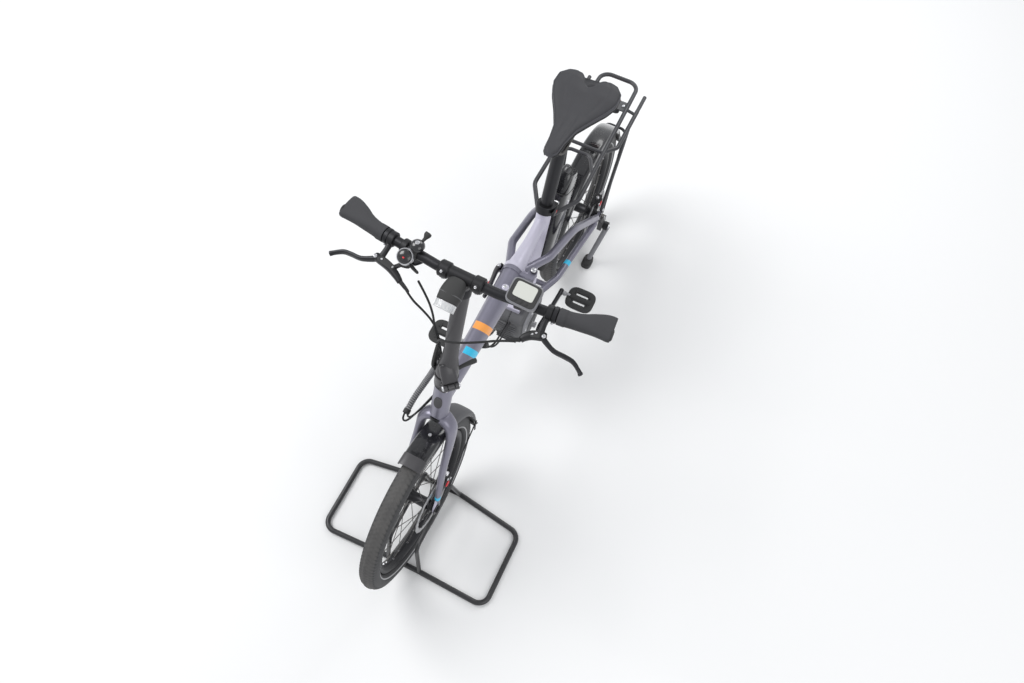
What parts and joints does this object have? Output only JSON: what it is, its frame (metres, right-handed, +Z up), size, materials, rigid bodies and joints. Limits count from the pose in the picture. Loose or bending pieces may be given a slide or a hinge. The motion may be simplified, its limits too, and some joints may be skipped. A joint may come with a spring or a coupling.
{
  "type": "folding electric bicycle",
  "caption": "Folding electric bicycle with a hinged frame, folding handlepost, mid-mounted motor, seat-tube battery, rear rack and fenders, standing in a low floor stand.",
  "frame": {"origin": "centre of the bounding box's base, on the floor", "axes": "+X forward, +Y to the rider's left, +Z up"},
  "size_m": [1.609, 0.6248, 1.0321],
  "materials": {
    "lilac_paint": "satin metallic lilac-grey paint",
    "dark_satin": "satin dark grey paint",
    "black_paint": "satin black paint",
    "black_metal": "black anodised aluminium",
    "steel": "brushed steel",
    "tyre": "black tyre rubber",
    "rubber": "moulded black rubber",
    "black_plastic": "matt black plastic",
    "gloss_black": "gloss black plastic",
    "grey_plastic": "dark grey plastic",
    "saddle_cover": "black synthetic leather",
    "red_lens": "red lens plastic",
    "grey_sleeve": "grey spiral wrap"
  },
  "bodies": {
    "fork_and_stand": {"fork": "lilac_paint", "front_axle": "steel", "front_caliper": "black_metal", "front_fender": "gloss_black", "front_fender_stays": "black_metal", "display_stand": "black_paint", "handlepost_base": "dark_satin"},
    "front_wheel_set": {"front_tyre": "tyre", "front_wheel": "black_metal", "front_rotor": "steel"},
    "front_half": {"front_frame": "lilac_paint", "frame_latch": "black_metal", "hose_bundle": "grey_sleeve", "frame_hoses": "rubber"},
    "handlepost_set": {"handlepost": "dark_satin", "post_latch": "black_plastic", "stem": "dark_satin", "handlebar": "black_metal", "grip_left": "rubber", "grip_right": "rubber", "brake_lever_left": "black_metal", "brake_lever_right": "black_metal", "shifter": "black_plastic", "bell": "black_metal", "display": "grey_plastic", "headlamp": "black_plastic", "bar_hoses": "rubber"},
    "rear_half": {"rear_frame": "lilac_paint", "rear_stays": "lilac_paint", "motor": "grey_plastic", "battery": "gloss_black", "seat_clamp": "black_metal", "rack": "black_paint", "rear_fender": "gloss_black", "rear_fender_stays": "black_metal", "rear_caliper": "black_metal", "derailleur": "black_metal", "tail_light": "red_lens", "rear_axle": "steel", "chain": "steel", "kickstand_mount": "black_metal"},
    "rear_wheel_set": {"rear_tyre": "tyre", "rear_wheel": "black_metal", "rear_rotor": "steel", "cassette": "steel"},
    "crankset": {"chainring": "black_metal", "crank_left": "black_metal", "crank_right": "black_metal"},
    "pedal_left_set": {"pedal_left": "black_plastic"},
    "pedal_right_set": {"pedal_right": "black_plastic"},
    "saddle_set": {"seatpost": "black_metal", "saddle": "saddle_cover", "saddle_rails": "steel"},
    "kickstand_leg": {"kickstand": "black_paint"}
  },
  "joints": [
    {"name": "front_wheel_spin", "type": "hinge", "parent": "fork_and_stand", "child": "front_wheel_set", "pos_m": [0.54777, -0.01307, 0.25699], "axis": [0.0414, 0.999, 0.0138], "continuous": true},
    {"name": "steering", "type": "hinge", "parent": "fork_and_stand", "child": "front_half", "pos_m": [0.39613, -0.01154, 0.6], "axis": [0.3173, 0, -0.9483], "range_deg": [-45, 45]},
    {"name": "handlepost_fold", "type": "hinge", "parent": "fork_and_stand", "child": "handlepost_set", "pos_m": [0.39324, 0.01352, 0.69036], "axis": [0.6773, -0.7357, -0.01], "range_deg": [-170, 0]},
    {"name": "frame_fold", "type": "hinge", "parent": "front_half", "child": "rear_half", "pos_m": [-0.0062, 0.03846, 0.6], "axis": [0.0262, 0, -0.9997], "range_deg": [0, 165]},
    {"name": "rear_wheel_spin", "type": "hinge", "parent": "rear_half", "child": "rear_wheel_set", "pos_m": [-0.5142, -0.01154, 0.257], "axis": [0, 1, 0], "continuous": true},
    {"name": "crank_spin", "type": "hinge", "parent": "rear_half", "child": "crankset", "pos_m": [-0.0422, -0.01154, 0.3], "axis": [0, 1, 0], "continuous": true},
    {"name": "pedal_left_spin", "type": "hinge", "parent": "crankset", "child": "pedal_left_set", "pos_m": [-0.20561, 0.12946, 0.25314], "axis": [0, 1, 0], "continuous": true},
    {"name": "pedal_right_spin", "type": "hinge", "parent": "crankset", "child": "pedal_right_set", "pos_m": [0.12121, -0.15254, 0.34686], "axis": [0, 1, 0], "continuous": true},
    {"name": "saddle_height", "type": "slide", "parent": "rear_half", "child": "saddle_set", "axis": [0.2924, 0, -0.9563], "range_m": [-0.1, 0.1]},
    {"name": "kickstand_fold", "type": "hinge", "parent": "rear_half", "child": "kickstand_leg", "pos_m": [-0.5242, 0.08696, 0.206], "axis": [0, -1, 0], "range_deg": [-95, 0]}
  ]
}
